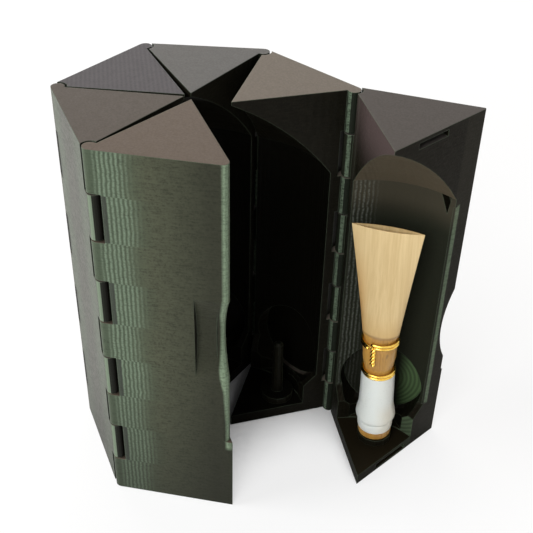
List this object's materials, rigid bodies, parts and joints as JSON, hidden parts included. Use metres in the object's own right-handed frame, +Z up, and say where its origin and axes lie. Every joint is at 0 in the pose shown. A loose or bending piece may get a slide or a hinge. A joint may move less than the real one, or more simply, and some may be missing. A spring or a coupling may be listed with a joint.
{
  "type": "bassoon reed case",
  "caption": "Upright hexagonal folding case of hollow wedge segments on barrel hinges, shut by magnets, with reed pegs inside and a bassoon reed.",
  "frame": {"origin": "on the flat underside of the rear left segment, 15 mm out from the closed case's axis", "axes": "+Z up along the hinges; +Y from the closed case's axis to the middle of the rear left segment's outer wall; +X to the right, so the opening faces -X -Y"},
  "size_m": [0.0566, 0.0697, 0.0844],
  "materials": {
    "case_plastic": "satin, printed in fine layers",
    "peg_plastic": "satin, printed in fine layers",
    "pin_steel": "drawn wire",
    "magnet_plating": "dull nickel plating",
    "cane": "scraped cane, dull at the tube and smooth on the blades",
    "wire_brass": "bright drawn wire",
    "sleeve_plastic": "smooth, soft sheen"
  },
  "bodies": {
    "rear_left": {"rear_left_shell": "case_plastic", "rear_left_peg": "peg_plastic", "rear_hinge_pin": "pin_steel"},
    "left_wing": {"left_wing_shell": "case_plastic", "left_wing_peg": "peg_plastic", "left_wing_hinge_pin": "pin_steel"},
    "left_door": {"left_door_shell": "case_plastic", "left_door_peg": "peg_plastic", "left_door_hinge_pin": "pin_steel", "left_door_top_magnet": "magnet_plating", "left_door_bottom_magnet": "magnet_plating"},
    "rear_right": {"rear_right_shell": "case_plastic", "rear_right_peg": "peg_plastic", "right_wing_hinge_pin": "pin_steel"},
    "right_wing": {"right_wing_shell": "case_plastic", "right_wing_peg": "peg_plastic", "right_door_hinge_pin": "pin_steel"},
    "right_door": {"right_door_shell": "case_plastic", "right_door_peg": "peg_plastic", "right_door_top_magnet": "magnet_plating", "right_door_bottom_magnet": "magnet_plating"},
    "reed": {"reed_cane": "cane", "reed_sleeve": "sleeve_plastic", "reed_first_wire": "wire_brass", "reed_second_wire": "wire_brass"}
  },
  "joints": [
    {"name": "left_wing_hinge", "type": "hinge", "parent": "rear_left", "child": "left_wing", "pos_m": [-0.01222, 0.00617, 0], "axis": [0, 0, -1], "range_deg": [-1.2, 98.8]},
    {"name": "left_door_hinge", "type": "hinge", "parent": "left_wing", "child": "left_door", "pos_m": [-0.02488, -0.01474, 0], "axis": [0, 0, -1], "range_deg": [-3.7, 96.3]},
    {"name": "rear_right_hinge", "type": "hinge", "parent": "rear_left", "child": "rear_right", "pos_m": [0.01222, 0.00617, 0], "axis": [0, 0, 1], "range_deg": [-2.2, 97.8]},
    {"name": "right_wing_hinge", "type": "hinge", "parent": "rear_right", "child": "right_wing", "pos_m": [0.02525, -0.01452, 0], "axis": [0, 0, 1], "range_deg": [-19.3, 80.7]},
    {"name": "right_door_hinge", "type": "hinge", "parent": "right_wing", "child": "right_door", "pos_m": [0.02163, -0.03869, 0], "axis": [0, 0, 1], "range_deg": [-85.9, 14.1]},
    {"name": "reed_lift", "type": "slide", "parent": "right_door", "child": "reed", "axis": [-0.0179, 0.0337, 0.9993], "range_m": [0, 0.012]}
  ]
}
